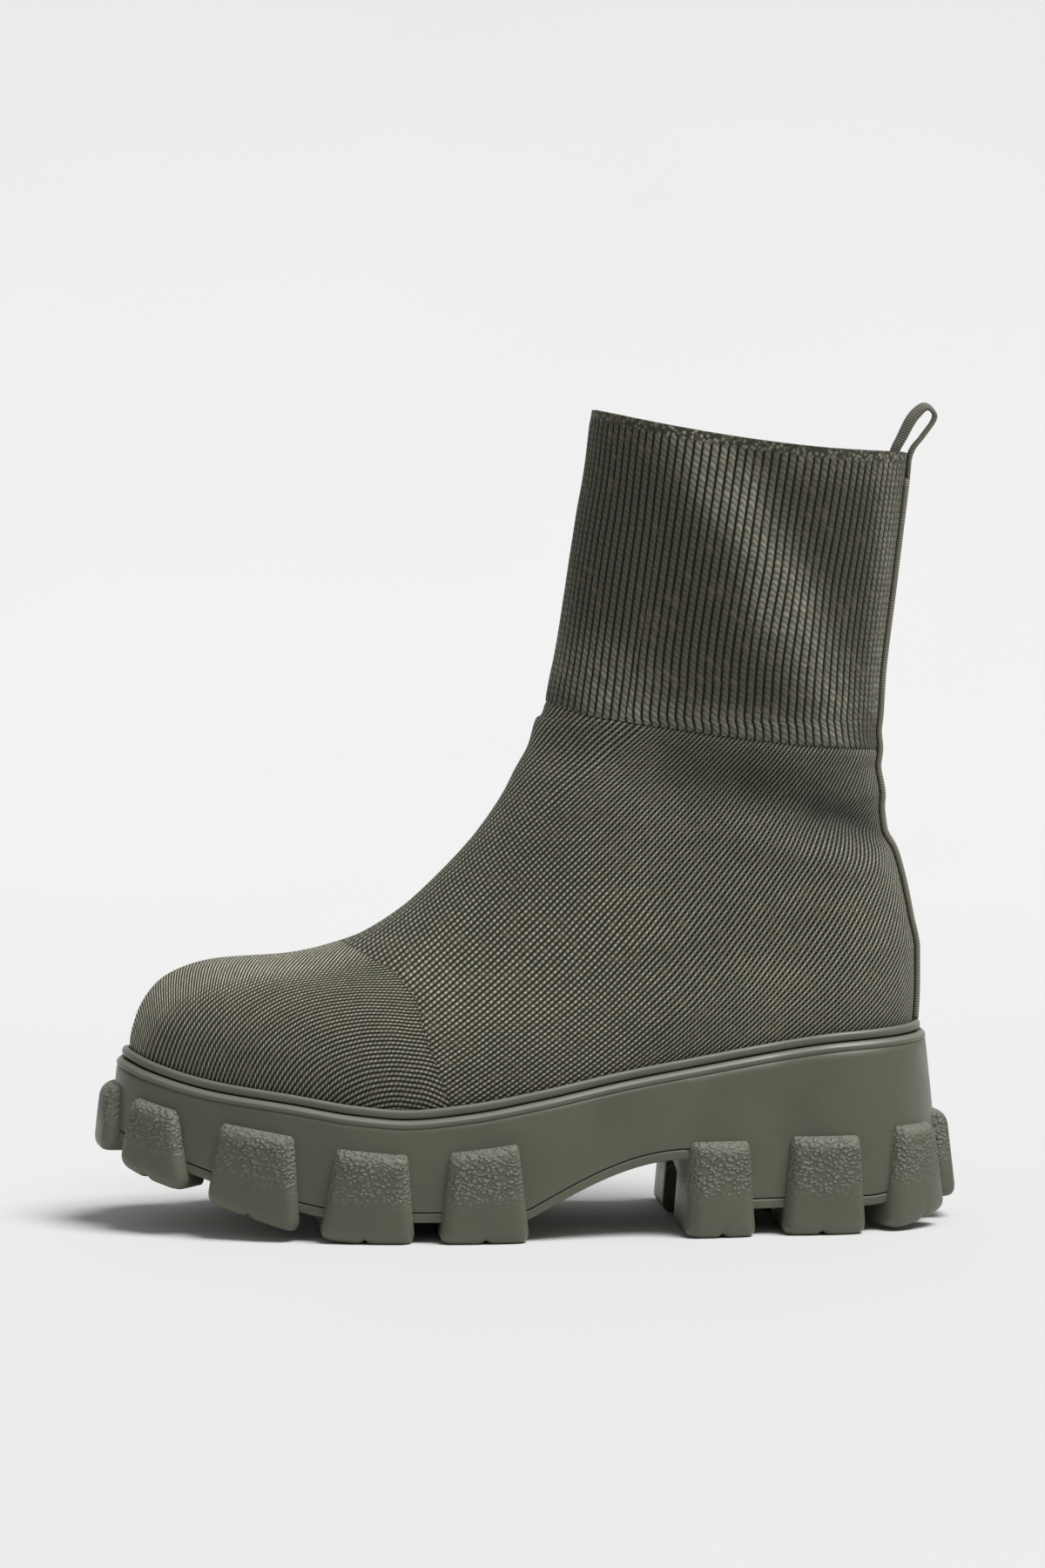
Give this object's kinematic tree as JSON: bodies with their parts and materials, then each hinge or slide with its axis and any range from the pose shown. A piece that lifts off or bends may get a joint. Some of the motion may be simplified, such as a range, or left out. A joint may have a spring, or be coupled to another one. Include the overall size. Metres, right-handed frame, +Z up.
{
  "type": "sock boot",
  "caption": "Left pull-on ankle boot: a one-piece knitted sock upper with a ribbed shaft and rear pull loop, on a thick platform sole with wrap-round lugs.",
  "frame": {"origin": "on the ground, under the middle of the boot's box", "axes": "+X from toe to heel, +Y towards the inner (medial) side, +Z up"},
  "size_m": [0.2824, 0.1182, 0.2669],
  "materials": {
    "knit": "dense olive stretch knit, ribbed at the shaft",
    "webbing": "flat woven olive tape",
    "lining": "dark brushed sock lining",
    "sole_rubber": "satin moulded rubber, leather-grained on the lugs"
  },
  "bodies": {
    "root": {"upper": "knit", "back_tape": "webbing", "pull_loop": "webbing", "insole": "lining", "rand": "sole_rubber", "midsole": "sole_rubber", "outsole": "sole_rubber"}
  },
  "joints": []
}
